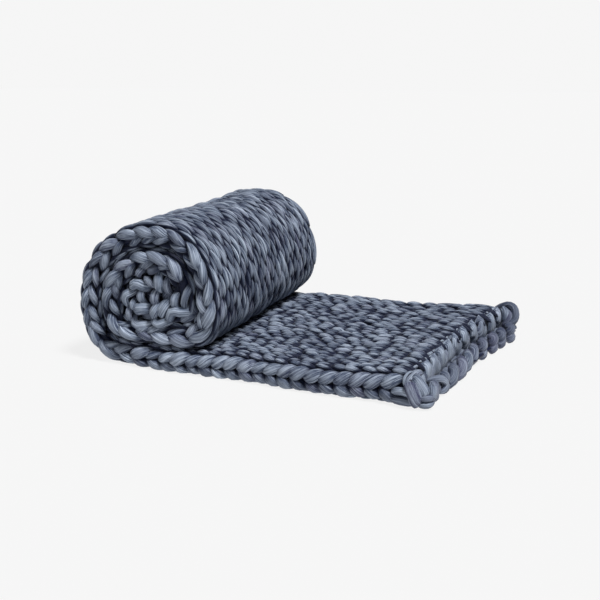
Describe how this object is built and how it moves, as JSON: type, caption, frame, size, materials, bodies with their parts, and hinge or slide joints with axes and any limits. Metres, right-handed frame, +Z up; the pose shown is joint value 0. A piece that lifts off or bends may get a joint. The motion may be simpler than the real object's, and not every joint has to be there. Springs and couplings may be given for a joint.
{
  "type": "weighted blanket",
  "caption": "Chunky hand-knit weighted blanket in slate-blue jersey yarn, folded lengthwise and rolled up, with its loose end lying flat.",
  "frame": {"origin": "centre of the bounding box, on the surface that the blanket rests on", "axes": "+X from the roll towards the loose end, +Y along the roll's middle line, +Z up"},
  "size_m": [0.7462, 0.5134, 0.2584],
  "materials": {
    "yarn": "matt jersey-tube yarn, knitted"
  },
  "bodies": {
    "root": {"blanket": "yarn"}
  },
  "joints": []
}
